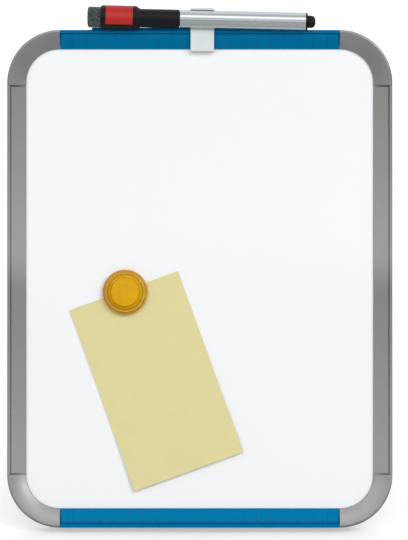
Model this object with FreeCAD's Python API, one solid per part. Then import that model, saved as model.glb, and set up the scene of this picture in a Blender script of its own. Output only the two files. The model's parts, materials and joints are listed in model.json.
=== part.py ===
import FreeCAD, Part
import math
import os

Vector = FreeCAD.Vector

# Stance on the desk, all in millimetres and degrees
lean_deg = 18.0
leg_tilt_deg = 10.25
skirt_clearance = 0.5

# Frame outline and rail section
board_width = 216.0
board_height = 279.0
frame_depth = 12.5
rail_face = 10.7
rail_wall = 1.6
edge_round = 0.9
lip_width = 1.7
lip_round = 0.4
groove_width = 0.8
groove_depth = 1.3
band_outer_depth = 0.5
band_inner_depth = 1.9
inner_round = 0.5
back_flange_reach = 8.6
back_flange_thickness = 1.3
joint_gap = 0.15
end_notch = 0.75

# Ruled band of the coloured rails
ruled_lip_width = 2.0
strip_end = 4.2
strip_step = 0.2
tick_count = 19
tick_pitch = 7.94
tick_width = 0.6
tick_depth = 0.45

# Low fence along the top rail, behind the marker
fence_x = -1.0
fence_length = 120.0
fence_front = 9.6
fence_thickness = 1.6
fence_height = 2.0
fence_round = 0.4

# Frame corners
corner_radius = 29.5
corner_tail_bottom = 0.2
corner_tail_top = 1.6
corner_proud = 0.15
corner_edge_round = 1.3
corner_crown_reach = 5.0
corner_crown_depth = 0.1
corner_crown_round = 24.0
corner_inner_depth = 1.85
tongue_length = 14.0
tongue_root = 4.0
tongue_bite = 0.6
tongue_play = 0.1
tongue_chamfer = 0.8

# Writing panel
panel_front = 3.0
panel_inset = 5.0
sheet_thickness = 0.4
core_thickness = 2.4
backing_thickness = 0.4
slot_play = 0.2

# Rubber feet on the lower rail
foot_width = 14.0
foot_spread = 62.0
foot_grip = 3.5
foot_reach = 4.5
foot_height = 6.0
foot_inset = 0.2
foot_play = 0.1
foot_round = 0.8

# Hinge of the easel leg
hinge_height = 192.0
hinge_depth = 10.2
hub_radius = 2.2
hub_length = 43.4
pin_radius = 1.0
pin_play = 0.05
ear_play = 0.02
ear_thickness = 3.4
ear_radius = 2.3
ear_gap = 0.3
bracket_thickness = 1.6
bracket_wing = 10.0
bracket_below = 11.0
bracket_above = 12.0
bracket_round = 3.0
pin_head_radius = 1.7
pin_head_length = 0.8
heel_height = 4.0
heel_gap = 0.05

# Bracket screws
screw_spacing = 13.0
screw_head_radius = 2.3
screw_head_height = 1.2
screw_shank_radius = 1.1
screw_hole_play = 0.1
screw_pilot_play = 0.02
screw_tip_cover = 0.5
screw_head_round = 0.7

# Easel leg
leg_depth = 3.6
leg_foot_width = 64.0
leg_neck = 4.2
leg_corner_round = 5.0
leg_skin = 1.3
leg_rim = 1.8
leg_rib_count = 4
leg_rib_thickness = 1.2
pad_thickness = 2.0
pad_wall = 0.5
pad_grip = 7.0
pad_spare = 1.0

# Marker clip
clip_x = 1.4
clip_width = 13.2
clip_wall = 1.2
clip_play = 0.2
clip_overhang = 1.5
clip_hook_gap = 0.3
clip_hook_stop = 0.4
clip_back_reach = 6.0
clip_nib_depth = 1.2
clip_nib_height = 1.0
clip_round = 0.5
clip_room_round = 0.7
clip_side_round = 0.45
cradle_play = 0.06
cradle_arm = 1.6
cradle_rise = 0.14

# Marker, measured along its own axis from the barrel's front end
marker_depth = -2.6
marker_tilt_deg = 1.25
marker_grip = 12.5
barrel_length = 70.3
barrel_radius = 5.15
barrel_wall = 0.6
barrel_round = 0.3
plug_play = 0.05
plug_length = 6.0
plug_flange_radius = 4.95
plug_flange_length = 1.0
plug_flange_gap = 0.1
plug_flange_round = 0.25
button_radius = 3.5
button_length = 4.4
button_round = 2.5
neck_length = 10.0
neck_radius = 4.2
cone_length = 5.5
cone_tip_radius = 2.75
holder_inside = 6.0
nib_radius = 2.0
nib_play = 0.05
nib_reach = 19.5
nib_tip_round = 1.4
nib_inside = 7.0
reservoir_radius = 4.1
reservoir_gap = 0.1
reservoir_end_gap = 0.3

# Marker cap with its eraser
cap_radius = 5.2
cap_play = 0.05
cap_mouth_gap = 0.3
cap_tube_length = 21.8
cap_bore_spare = 1.2
cap_mouth_round = 0.3
housing_radius = 6.75
housing_length = 22.1
housing_chamfer = 2.4
housing_round = 0.6
felt_radius = 6.0
felt_length = 7.6
felt_seat = 2.0
felt_play = 0.1
felt_round = 1.1
label_length = 15.1
label_from_felt = 2.8
label_span_deg = 100.0
label_turn_deg = 12.0
label_recess = 0.3
label_proud = 0.12
label_gap = 0.05

# Round magnet
magnet_x = -41.85
magnet_height_on_board = 132.0
magnet_radius = 12.65
magnet_height = 8.0
magnet_rim_height = 2.4
magnet_step_radius = 11.2
magnet_step_height = 4.2
magnet_cone_radius = 10.2
magnet_top_radius = 7.8
magnet_top_height = 7.4
magnet_round = 0.5
magnet_seat_gap = 0.05
disc_radius = 9.2
disc_thickness = 3.6
disc_play = 0.1

# Paper note under the magnet
note_x = -24.4
note_centre_height = 82.1
note_width = 64.8
note_length = 107.8
note_turn_deg = 19.9
note_thickness = 0.2
note_gap = 0.05
note_curl_length = 62.0
note_curl_lift = 1.6

# Drawing allowances
overrun = 1.0
half_turn_deg = 180.0
quarter_turn_deg = 90.0
full_turn_deg = 360.0
floor_cut_size = 400.0

# Sizes that follow from the ones above
panel_thickness = sheet_thickness + core_thickness + backing_thickness
panel_back = panel_front + panel_thickness
slot_back = panel_back + slot_play
back_flange_back = slot_back + back_flange_thickness
bracket_back = panel_back + bracket_thickness
lean = math.radians(lean_deg)
leg_tilt = math.radians(leg_tilt_deg)
leg_opening_deg = lean_deg + leg_tilt_deg
floor_level = -frame_depth * math.sin(lean) - skirt_clearance
hinge_rise = hinge_height * math.cos(lean) - hinge_depth * math.sin(lean) - floor_level
leg_reach = hinge_rise / math.cos(leg_tilt)
leg_length = leg_reach - pad_thickness
ear_inner = hub_length / 2 + ear_gap
ear_outer = ear_inner + ear_thickness
rail_length = board_width - 2 * (corner_radius + joint_gap)
side_length = (board_height - 2 * (corner_radius + joint_gap)
               - corner_tail_bottom - corner_tail_top)
side_drop = (corner_tail_top - corner_tail_bottom) / 2
note_front = panel_front - note_gap - note_thickness
magnet_base = note_front - magnet_seat_gap
clip_front = -clip_play - clip_wall
cradle_inner = barrel_radius + cradle_play
cradle_outer = cradle_inner + clip_wall
marker_height = board_height + clip_play + cradle_rise + cradle_inner
cap_bore = neck_radius + cap_play
housing_start = -cap_tube_length - cap_mouth_gap
housing_end = housing_start - housing_length
x_axis = Vector(1, 0, 0)
y_axis = Vector(0, 1, 0)
z_axis = Vector(0, 0, 1)
origin = Vector(0, 0, 0)


def side_plane(height, depth):
    """A section point of height and depth, seen from the board's side."""
    return Vector(0, depth, height)


def front_plane(across, height):
    """A section point seen from the front of the board."""
    return Vector(across, 0, height)


def turning_plane(along, radius):
    """A section point of a body turned about the X axis."""
    return Vector(along, 0, radius)


def dial_plane(radius, depth):
    """A section point of a body turned about the Y axis."""
    return Vector(radius, depth, 0)


def section(corners, plane):
    """Closed face through corners of two sizes and a rounding radius."""
    points = [plane(a, b) for a, b, _ in corners]
    edges = []
    here = None
    first = None
    for i, (_, _, radius) in enumerate(corners):
        point = points[i]
        back = (points[i - 1] - point).normalize()
        onward = (points[(i + 1) % len(points)] - point).normalize()
        start = point
        end = point
        if radius > 0:
            half = back.getAngle(onward) / 2
            start = point + back * (radius / math.tan(half))
            end = point + onward * (radius / math.tan(half))
            centre = point + (back + onward).normalize() * (radius / math.sin(half))
            middle = centre + (point - centre).normalize() * radius
        if here is None:
            first = start
        else:
            edges.append(Part.LineSegment(here, start).toShape())
        if radius > 0:
            edges.append(Part.Arc(start, middle, end).toShape())
        here = end
    edges.append(Part.LineSegment(here, first).toShape())
    return Part.Face(Part.Wire(edges))


def block(x0, x1, y0, y1, z0, z1):
    """Box between two corners."""
    return Part.makeBox(x1 - x0, y1 - y0, z1 - z0, Vector(x0, y0, z0))


def moved(shape, x, y, z):
    """Copy of a shape moved by three distances."""
    copy = shape.copy()
    copy.translate(Vector(x, y, z))
    return copy


def turned_about(shape, centre, axis, degrees):
    """Copy of a shape turned about an axis through a point."""
    copy = shape.copy()
    copy.rotate(centre, axis, degrees)
    return copy


def extruded_across(face, length, centre_x):
    """A side section pushed out along X, centred on a place."""
    return moved(face, centre_x - length / 2, 0, 0).extrude(x_axis * length)


# Frame


def rail_section(front):
    """Channel section of the frame, from its front line to the open back."""
    back = [
        (rail_face, panel_front, 0),
        (rail_wall, panel_front, 0),
        (rail_wall, slot_back, 0),
        (back_flange_reach, slot_back, 0),
        (back_flange_reach, back_flange_back, inner_round),
        (rail_wall, back_flange_back, 0),
        (rail_wall, frame_depth, inner_round),
        (0, frame_depth, inner_round),
    ]
    return section(front + back, side_plane)


def lip_and_groove(width):
    """Start of a rail's front line: a round lip and the groove beside it."""
    return [
        (0, 0, edge_round),
        (width, 0, lip_round),
        (width, groove_depth, 0),
        (width + groove_width, groove_depth, 0),
        (width + groove_width, band_outer_depth, 0),
    ]


def side_rail_section():
    """Grey rail: a lip, a groove, and a band that falls to the panel."""
    return rail_section(lip_and_groove(lip_width)
                        + [(rail_face, band_inner_depth, inner_round)])


def ruled_rail_section():
    """Coloured rail: a lip, a groove, a narrow strip, and the ruled band."""
    return rail_section(lip_and_groove(ruled_lip_width) + [
        (strip_end, band_outer_depth, 0),
        (strip_end, band_outer_depth + strip_step, 0),
        (rail_face, band_inner_depth, inner_round),
    ])


def corner_section():
    """Corner: one crowned face that stands proud of the rails' bands."""
    return rail_section([
        (0, -corner_proud, corner_edge_round),
        (corner_crown_reach, corner_crown_depth, corner_crown_round),
        (rail_face, corner_inner_depth, inner_round),
    ])


def on_side(shape, side):
    """Turn a lower rail's shape on to one side of the board."""
    places = {
        "top": (half_turn_deg, 0, board_height),
        "left": (quarter_turn_deg, -board_width / 2, board_height / 2),
    }
    degrees, x, z = places[side]
    return moved(turned_about(shape, origin, y_axis, degrees), x, 0, z)


def notched(rail, length, width):
    """Rail with its band cut back at both ends, from the lip inwards."""
    end = length / 2
    notches = [block(x, x + end_notch + overrun, -overrun, band_inner_depth,
                     width, rail_face + overrun)
               for x in (-end - overrun, end - end_notch)]
    return rail.cut(notches)


def marker_fence():
    """Low fence that keeps the marker from rolling off the top rail."""
    face = section([
        (rail_wall / 2, fence_front, 0),
        (-fence_height, fence_front, fence_round),
        (-fence_height, fence_front + fence_thickness, fence_round),
        (rail_wall / 2, fence_front + fence_thickness, 0),
    ], side_plane)
    return extruded_across(face, fence_length, -fence_x)


def ruled_rail():
    """Coloured rail at the bottom, with its row of engraved lines."""
    rail = extruded_across(ruled_rail_section(), rail_length, 0)
    band_start = band_outer_depth + strip_step
    slope = (band_inner_depth - band_start) / (rail_face - strip_end)
    floor = band_start + tick_depth
    start = ruled_lip_width + groove_width / 2
    groove = section([
        (start, -overrun, 0),
        (start, floor, 0),
        (strip_end, floor, 0),
        (rail_face + overrun, floor + slope * (rail_face + overrun - strip_end), 0),
        (rail_face + overrun, -overrun, 0),
    ], side_plane)
    ticks = []
    for i in range(tick_count):
        place = (i - (tick_count - 1) / 2) * tick_pitch
        ticks.append(extruded_across(groove, tick_width, place))
    return notched(rail.cut(ticks), rail_length, ruled_lip_width)


def left_side_rail():
    """Grey rail between the two corners on the left."""
    rail = extruded_across(side_rail_section(), side_length, 0)
    return moved(on_side(notched(rail, side_length, lip_width), "left"), 0, 0, -side_drop)


def tongue():
    """Tongue along +X from a corner's end, with its root in the corner."""
    end = joint_gap + tongue_length
    near = rail_wall + tongue_play
    far = panel_inset - tongue_play
    low = panel_front + tongue_play
    high = slot_back - tongue_play
    blade = section([
        (near, low, 0),
        (far, low, 0),
        (far, high, 0),
        (near, high, 0),
    ], side_plane).extrude(x_axis * end)
    root = block(-tongue_root, 0, panel_front - tongue_bite, slot_back + tongue_bite,
                 rail_wall - tongue_bite, far)
    tip = [e for e in blade.Edges if all(abs(v.X - end) < tongue_play for v in e.Vertexes)]
    return blade.makeChamfer(tongue_chamfer, tip).fuse(root)


def lower_left_corner(tail_length):
    """Moulded corner: a quarter turn, a short tail and two tongues."""
    left = -board_width / 2
    centre = Vector(left + corner_radius, 0, corner_radius)
    face = corner_section()
    bend = moved(face, centre.x, 0, 0).revolve(centre, y_axis, quarter_turn_deg)
    upright = turned_about(face, origin, y_axis, quarter_turn_deg)
    tail = moved(upright, left, 0, corner_radius).extrude(z_axis * tail_length)
    across = moved(tongue(), centre.x, 0, 0)
    up = turned_about(tongue(), origin, y_axis, -quarter_turn_deg)
    up = up.mirror(origin, x_axis)
    up = moved(up, left, 0, corner_radius + tail_length)
    return bend.multiFuse([tail, across, up]).removeSplitter()


def frame_corners():
    """The four corners, the right ones mirrors of the left ones."""
    low = lower_left_corner(corner_tail_bottom)
    high = lower_left_corner(corner_tail_top)
    high = high.mirror(Vector(0, 0, board_height / 2), z_axis)
    return {
        "corner_bottom_left": low,
        "corner_bottom_right": low.mirror(origin, x_axis),
        "corner_top_left": high,
        "corner_top_right": high.mirror(origin, x_axis),
    }


# Panel


def panel_layer(front, thickness):
    """One layer of the panel, with the frame's round corners."""
    half = board_width / 2 - panel_inset
    radius = corner_radius - panel_inset
    top = board_height - panel_inset
    face = section([
        (-half, panel_inset, radius),
        (half, panel_inset, radius),
        (half, top, radius),
        (-half, top, radius),
    ], front_plane)
    return moved(face, 0, front, 0).extrude(y_axis * thickness)


def screw_places():
    """Places of the bracket screws, as pairs of X and height."""
    across = ear_outer + bracket_wing / 2
    middle = hinge_height + (bracket_above - bracket_below) / 2
    return [(sx * across, middle + sz * screw_spacing / 2) for sx in (-1, 1) for sz in (-1, 1)]


def screw_bores(radius, front, back):
    """Bores on the screw places between two depths."""
    return [Part.makeCylinder(radius, back - front, Vector(x, front, z), y_axis)
            for x, z in screw_places()]


def panel_layers():
    """Steel writing sheet, core board and backing sheet."""
    pilot = screw_shank_radius + screw_pilot_play
    core_front = panel_front + sheet_thickness
    backing_front = core_front + core_thickness
    core = panel_layer(core_front, core_thickness)
    backing = panel_layer(backing_front, backing_thickness)
    blind = core_front + screw_tip_cover
    return {
        "writing_sheet": panel_layer(panel_front, sheet_thickness),
        "core_board": core.cut(screw_bores(pilot, blind, backing_front + overrun)),
        "backing_sheet": backing.cut(screw_bores(pilot, backing_front - overrun,
                                                 panel_back + overrun)),
    }


def board_feet():
    """Two rubber feet that hook over the lower rail's back edge."""
    face = section([
        (rail_wall + foot_play, frame_depth - foot_grip, 0),
        (foot_height, frame_depth - foot_grip, foot_round),
        (foot_height, frame_depth + foot_reach, foot_round),
        (foot_inset, frame_depth + foot_reach, 0),
        (foot_inset, frame_depth + foot_play, 0),
        (rail_wall + foot_play, frame_depth + foot_play, 0),
    ], side_plane)
    return Part.makeCompound([extruded_across(face, foot_width, side * foot_spread)
                              for side in (-1, 1)])


# Easel leg and hinge


def ear(centre_x):
    """Ear of the bracket, rounded about the hinge pin."""
    face = section([
        (hinge_height - ear_radius, bracket_back - bracket_thickness / 2, 0),
        (hinge_height - ear_radius, hinge_depth + ear_radius, ear_radius - pin_play),
        (hinge_height + ear_radius, hinge_depth + ear_radius, ear_radius - pin_play),
        (hinge_height + ear_radius, bracket_back - bracket_thickness / 2, 0),
    ], side_plane)
    return extruded_across(face, ear_thickness, centre_x)


def hinge_bracket():
    """Plate with two ears, screwed to the back of the panel."""
    half = ear_outer + bracket_wing
    face = section([
        (-half, hinge_height - bracket_below, bracket_round),
        (half, hinge_height - bracket_below, bracket_round),
        (half, hinge_height + bracket_above, bracket_round),
        (-half, hinge_height + bracket_above, bracket_round),
    ], front_plane)
    plate = moved(face, 0, panel_back, 0).extrude(y_axis * bracket_thickness)
    middle = (ear_inner + ear_outer) / 2
    bracket = plate.multiFuse([ear(-middle), ear(middle)])
    pin_hole = pin_bore(pin_radius + ear_play, ear_outer + overrun)
    holes = screw_bores(screw_shank_radius + screw_hole_play, panel_back - overrun,
                        bracket_back + overrun)
    return bracket.cut([pin_hole] + holes)


def pin_bore(radius, half_length):
    """Cylinder on the hinge axis."""
    start = Vector(-half_length, hinge_depth, hinge_height)
    return Part.makeCylinder(radius, 2 * half_length, start, x_axis)


def hinge_pin():
    """Pin through both ears, with a head on each end."""
    half = ear_outer + ear_play + pin_head_length
    pin = pin_bore(pin_radius, half)
    heads = [Part.makeCylinder(pin_head_radius, pin_head_length,
                               Vector(x, hinge_depth, hinge_height), x_axis)
             for x in (-half, half - pin_head_length)]
    return pin.multiFuse(heads)


def bracket_screws():
    """Four pan-head screws through the bracket into the core board."""
    tip = panel_front + sheet_thickness + screw_tip_cover
    head_top = bracket_back + screw_head_height
    face = section([
        (0, tip, 0),
        (screw_shank_radius, tip, 0),
        (screw_shank_radius, bracket_back, 0),
        (screw_head_radius, bracket_back, 0),
        (screw_head_radius, head_top, screw_head_round),
        (0, head_top, 0),
    ], dial_plane)
    screw = face.revolve(origin, y_axis, full_turn_deg)
    return Part.makeCompound([moved(screw, x, 0, z) for x, z in screw_places()])


def leg_outline(inset, end):
    """Front outline of the leg, drawn in by an inset, down to its end."""
    half_top = hub_length / 2 - inset
    half_foot = leg_foot_width / 2 - inset
    foot = hinge_height - end + inset
    return section([
        (-half_top, hinge_height - inset, 0),
        (-half_top, hinge_height - leg_neck, 0),
        (-half_foot, foot, leg_corner_round - inset),
        (half_foot, foot, leg_corner_round - inset),
        (half_top, hinge_height - leg_neck, 0),
        (half_top, hinge_height - inset, 0),
    ], front_plane)


def leg_ribs():
    """Cross ribs between the leg's rims."""
    front = hinge_depth - leg_depth / 2
    pitch = (leg_length - leg_neck) / (leg_rib_count + 1)
    ribs = []
    for i in range(leg_rib_count):
        low = hinge_height - leg_neck - (i + 1) * pitch - leg_rib_thickness / 2
        ribs.append(block(-leg_foot_width / 2, leg_foot_width / 2, front,
                          front + leg_depth, low, low + leg_rib_thickness))
    return ribs


def folded_leg():
    """Leg in its folded place: a ribbed tray that hangs from a hub."""
    front = hinge_depth - leg_depth / 2
    tray = moved(leg_outline(0, leg_length), 0, front, 0).extrude(y_axis * leg_depth)
    pocket = moved(leg_outline(leg_rim, leg_length), 0, front - overrun, 0)
    pocket = pocket.extrude(y_axis * (leg_depth - leg_skin + overrun))
    hub_room = block(-hub_length, hub_length, front - overrun, front + leg_depth,
                     hinge_height - hub_radius - leg_rim, hinge_height + overrun)
    hub = pin_bore(hub_radius, hub_length / 2)
    return tray.cut(pocket.cut(leg_ribs() + [hub_room])).fuse(hub)


def opened(shape):
    """Swing a shape of the leg from its folded place to the open stop."""
    return turned_about(shape, Vector(0, hinge_depth, hinge_height), x_axis, leg_opening_deg)


def easel_leg():
    """Open leg, with the heel that stops against the bracket."""
    heel = block(-hub_length / 2, hub_length / 2, bracket_back + heel_gap, hinge_depth,
                 hinge_height, hinge_height + heel_height)
    leg = opened(folded_leg()).fuse(heel)
    return leg.cut(pin_bore(pin_radius + pin_play, hub_length)).removeSplitter()


def leg_foot_pad():
    """Rubber boot over the leg's end, long enough to be cut at the floor."""
    front = hinge_depth - leg_depth / 2
    half = leg_foot_width / 2 + pad_wall
    end = hinge_height - leg_length
    low = end - pad_thickness - pad_spare
    face = section([
        (-half, low, leg_corner_round),
        (half, low, leg_corner_round),
        (half, end + pad_grip, 0),
        (-half, end + pad_grip, 0),
    ], front_plane)
    boot = moved(face, 0, front - pad_wall, 0).extrude(y_axis * (leg_depth + 2 * pad_wall))
    solid = moved(leg_outline(0, leg_length), 0, front, 0).extrude(y_axis * leg_depth)
    return opened(boot.cut(solid))


# Marker clip


def in_marker_place(shape):
    """Move a shape from the marker's own axis to its place on the clip."""
    copy = moved(shape, -marker_grip, 0, 0)
    copy = turned_about(copy, origin, y_axis, marker_tilt_deg)
    return moved(copy, clip_x, marker_depth, marker_height)


def clip_hook():
    """Strip that wraps the top rail: front plate, bridge and back leg."""
    top = board_height + clip_play
    fence_top = top + fence_height
    fence_room = fence_front - clip_play
    back = frame_depth + clip_play
    plate_end = board_height - rail_face - clip_overhang
    hook_top = board_height - rail_face - clip_hook_gap
    nib_top = board_height - rail_wall - clip_hook_gap
    face = section([
        (plate_end, clip_front, clip_round),
        (top + clip_wall, clip_front, clip_round),
        (top + clip_wall, fence_room - clip_wall, 0),
        (fence_top + clip_wall, fence_room - clip_wall, clip_round),
        (fence_top + clip_wall, back + clip_wall, clip_round),
        (board_height - clip_back_reach, back + clip_wall, clip_round),
        (board_height - clip_back_reach, back, 0),
        (nib_top - clip_nib_height, back, 0),
        (nib_top - clip_nib_height, frame_depth - clip_nib_depth, 0),
        (nib_top, frame_depth - clip_nib_depth, 0),
        (nib_top, back, 0),
        (fence_top, back, 0),
        (fence_top, fence_room, 0),
        (top, fence_room, 0),
        (top, -clip_play, clip_room_round),
        (hook_top, -clip_play, 0),
        (hook_top, panel_front - clip_hook_stop, 0),
        (plate_end, panel_front - clip_hook_stop, 0),
    ], side_plane)
    strip = extruded_across(face, clip_width, clip_x)
    sides = [e for e in strip.Edges
             if all(abs(v.Y - clip_front) < clip_play for v in e.Vertexes)
             and e.BoundBox.ZLength > rail_face]
    return strip.makeFillet(clip_side_round, sides)


def cradle():
    """Half ring behind the marker, with an arm over its top."""
    left = clip_x - clip_width / 2
    right = left + clip_width
    reach = cradle_outer + overrun
    centre = Vector(left, marker_depth, marker_height)
    ring = Part.makeCylinder(cradle_outer, clip_width, centre, x_axis)
    upper_front = block(left, right, marker_depth - reach, marker_depth,
                        marker_height, marker_height + reach)
    lower_front = block(left, right, marker_depth - reach, clip_front,
                        marker_height - reach, marker_height)
    arm = block(left, right, marker_depth - cradle_arm, marker_depth,
                marker_height, marker_height + cradle_outer)
    room = section([
        (board_height - reach, -clip_play, 0),
        (board_height + clip_play, -clip_play, clip_room_round),
        (board_height + clip_play, frame_depth, 0),
        (board_height - reach, frame_depth, 0),
    ], side_plane)
    ring = ring.cut([upper_front, lower_front, extruded_across(room, clip_width, clip_x)])
    return ring.fuse(arm)


def marker_clip():
    """Clip with its cradle, open to the front, above the top rail."""
    reach = marker_grip + clip_width
    bore = Part.makeCylinder(cradle_inner, 2 * clip_width,
                             Vector(marker_grip - clip_width, 0, 0), x_axis)
    mouth = block(marker_grip - clip_width, reach, -cradle_outer - cradle_arm, 0,
                  -cradle_inner, cradle_inner)
    body = cradle().fuse(clip_hook())
    return body.cut([in_marker_place(bore), in_marker_place(mouth)]).removeSplitter()


# Marker


def turned(corners):
    """Solid turned about the marker's axis from lengths and radii."""
    face = section(corners, turning_plane)
    return face.revolve(origin, x_axis, full_turn_deg)


def marker_barrel():
    """Thin barrel, open at both ends."""
    bore = barrel_radius - barrel_wall
    return turned([
        (0, bore, 0),
        (0, barrel_radius, barrel_round),
        (barrel_length, barrel_radius, 0),
        (barrel_length, bore, 0),
    ])


def marker_end_plug():
    """Plug with a flange and a domed button."""
    body = barrel_radius - barrel_wall - plug_play
    flange_start = barrel_length + plug_flange_gap
    flange_end = flange_start + plug_flange_length
    button_end = flange_end + button_length
    return turned([
        (barrel_length - plug_length, 0, 0),
        (barrel_length - plug_length, body, barrel_round),
        (flange_start, body, 0),
        (flange_start, plug_flange_radius, plug_flange_round),
        (flange_end, plug_flange_radius, plug_flange_round),
        (flange_end, button_radius, 0),
        (button_end, button_radius, button_round),
        (button_end, 0, 0),
    ])


def nib_holder():
    """Holder that plugs the barrel's front and tapers to the nib."""
    inside = barrel_radius - barrel_wall - plug_play
    bore = nib_radius + nib_play
    return turned([
        (holder_inside, bore, 0),
        (holder_inside, inside, 0),
        (0, inside, 0),
        (0, neck_radius, 0),
        (-neck_length, neck_radius, 0),
        (-neck_length - cone_length, cone_tip_radius, 0),
        (-neck_length - cone_length, bore, 0),
    ])


def marker_nib():
    """Felt nib with a rounded tip."""
    return turned([
        (nib_inside, 0, 0),
        (nib_inside, nib_radius, 0),
        (-nib_reach, nib_radius, nib_tip_round),
        (-nib_reach, 0, 0),
    ])


def ink_reservoir():
    """Fibre rod that fills the barrel behind the nib."""
    start = nib_inside + reservoir_gap
    length = barrel_length - plug_length - reservoir_end_gap - start
    return Part.makeCylinder(reservoir_radius, length, Vector(start, 0, 0), x_axis)


def label_sector(inner, outer, length, span_deg):
    """Curved plate on the cap's housing, turned a little upwards."""
    middle = housing_end + label_from_felt + label_length / 2
    start = Vector(middle - length / 2, 0, 0)
    face = section([
        (start.x, inner, 0),
        (start.x, outer, 0),
        (start.x + length, outer, 0),
        (start.x + length, inner, 0),
    ], turning_plane)
    first_deg = quarter_turn_deg - label_turn_deg - span_deg / 2
    face.rotate(origin, x_axis, first_deg)
    return face.revolve(origin, x_axis, span_deg)


def label_gap_deg():
    """Gap round the label as an angle at the recess."""
    return math.degrees(label_gap / (housing_radius - label_recess))


def marker_cap():
    """Cap tube that widens into the eraser's housing."""
    mouth = -cap_mouth_gap
    bore_end = -nib_reach - cap_bore_spare
    shell = turned([
        (mouth, cap_bore, 0),
        (mouth, cap_radius, cap_mouth_round),
        (housing_start, cap_radius, 0),
        (housing_start - housing_chamfer, housing_radius, housing_round),
        (housing_end, housing_radius, housing_round),
        (housing_end, felt_radius + felt_play, 0),
        (housing_end + felt_seat, felt_radius + felt_play, 0),
        (housing_end + felt_seat, 0, 0),
        (bore_end, 0, 0),
        (bore_end, cap_bore, 0),
    ])
    recess = label_sector(housing_radius - label_recess, housing_radius + overrun,
                          label_length + 2 * label_gap, label_span_deg + 2 * label_gap_deg())
    return shell.cut(recess)


def eraser_felt():
    """Felt pad seated in the end of the housing."""
    return turned([
        (housing_end + felt_seat, 0, 0),
        (housing_end + felt_seat, felt_radius, 0),
        (housing_end - felt_length, felt_radius, felt_round),
        (housing_end - felt_length, 0, 0),
    ])


def cap_label_plate():
    """Bare curved plate in the housing's recess."""
    inner = housing_radius - label_recess + label_gap
    return label_sector(inner, housing_radius + label_proud, label_length, label_span_deg)


# Magnet and note


def magnet_cover():
    """Stepped round cover with a pocket for the magnet disc."""
    pocket_radius = disc_radius + disc_play
    pocket_depth = disc_thickness + disc_play
    cover = section([
        (0, -pocket_depth, 0),
        (pocket_radius, -pocket_depth, 0),
        (pocket_radius, 0, 0),
        (magnet_radius, 0, magnet_round),
        (magnet_radius, -magnet_rim_height, magnet_round),
        (magnet_step_radius, -magnet_rim_height, 0),
        (magnet_step_radius, -magnet_step_height, magnet_round),
        (magnet_cone_radius, -magnet_step_height, 0),
        (magnet_top_radius, -magnet_top_height, 0),
        (magnet_top_radius, -magnet_height, magnet_round),
        (0, -magnet_height, 0),
    ], dial_plane).revolve(origin, y_axis, full_turn_deg)
    return moved(cover, magnet_x, magnet_base, magnet_height_on_board)


def magnet_disc():
    """Flat magnet in the cover's pocket."""
    centre = Vector(magnet_x, magnet_base - disc_thickness, magnet_height_on_board)
    return Part.makeCylinder(disc_radius, disc_thickness, centre, y_axis)


def paper_note():
    """Sheet of paper whose lower end curls gently off the board."""
    half = note_length / 2
    flat_end = note_curl_length - half
    radius = (note_curl_length ** 2 + note_curl_lift ** 2) / (2 * note_curl_lift)
    angle = math.asin(note_curl_length / radius)
    back = panel_front - note_gap

    def curl(reach, share):
        turn = angle * share
        return side_plane(flat_end - reach * math.sin(turn),
                          back - radius + reach * math.cos(turn))

    inner = radius - note_thickness
    top_back = side_plane(half, back)
    top_front = side_plane(half, back - note_thickness)
    edges = [
        Part.LineSegment(top_back, curl(radius, 0)).toShape(),
        Part.Arc(curl(radius, 0), curl(radius, 1 / 2), curl(radius, 1)).toShape(),
        Part.LineSegment(curl(radius, 1), curl(inner, 1)).toShape(),
        Part.Arc(curl(inner, 1), curl(inner, 1 / 2), curl(inner, 0)).toShape(),
        Part.LineSegment(curl(inner, 0), top_front).toShape(),
        Part.LineSegment(top_front, top_back).toShape(),
    ]
    sheet = extruded_across(Part.Face(Part.Wire(edges)), note_width, 0)
    sheet = turned_about(sheet, origin, y_axis, -note_turn_deg)
    return moved(sheet, note_x, 0, note_centre_height)


# Assembly


def stood_up(shape):
    """Lean the board back and set the floor at zero height."""
    leaned = turned_about(shape, origin, x_axis, -lean_deg)
    return moved(leaned, 0, 0, -floor_level)


def cut_at_floor(shape):
    """Cut a foot off flat where it meets the desk."""
    half = floor_cut_size / 2
    return shape.cut(block(-half, half, -half, half, -half, 0))


def board_shapes():
    """Every sub-part in the upright board's frame, by node name."""
    bottom_rail = ruled_rail()
    left_rail = left_side_rail()
    shapes = {
        "top_rail": on_side(bottom_rail.fuse(marker_fence()), "top"),
        "bottom_rail": bottom_rail,
        "side_rail_left": left_rail,
        "side_rail_right": left_rail.mirror(origin, x_axis),
        "board_feet": board_feet(),
        "hinge_bracket": hinge_bracket(),
        "bracket_screws": bracket_screws(),
        "hinge_pin": hinge_pin(),
        "easel_leg": easel_leg(),
        "leg_foot_pad": leg_foot_pad(),
        "marker_clip": marker_clip(),
        "marker_barrel": in_marker_place(marker_barrel()),
        "marker_end_plug": in_marker_place(marker_end_plug()),
        "nib_holder": in_marker_place(nib_holder()),
        "marker_nib": in_marker_place(marker_nib()),
        "ink_reservoir": in_marker_place(ink_reservoir()),
        "marker_cap": in_marker_place(marker_cap()),
        "eraser_felt": in_marker_place(eraser_felt()),
        "cap_label_plate": in_marker_place(cap_label_plate()),
        "magnet_cover": magnet_cover(),
        "magnet_disc": magnet_disc(),
        "paper_note": paper_note(),
    }
    shapes.update(frame_corners())
    shapes.update(panel_layers())
    return shapes


def standing_shapes():
    """Every sub-part in its final place, centred over the desk."""
    shapes = {name: stood_up(shape) for name, shape in board_shapes().items()}
    for name in ("board_feet", "leg_foot_pad"):
        shapes[name] = cut_at_floor(shapes[name])
    box = Part.makeCompound(list(shapes.values())).optimalBoundingBox(False, False)
    shift = -box.Center.y
    return {name: moved(shape, 0, shift, 0) for name, shape in shapes.items()}


def main():
    os.makedirs("parts", exist_ok=True)
    for name, shape in standing_shapes().items():
        shape.exportStep("parts/" + name + ".step")


main()
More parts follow.
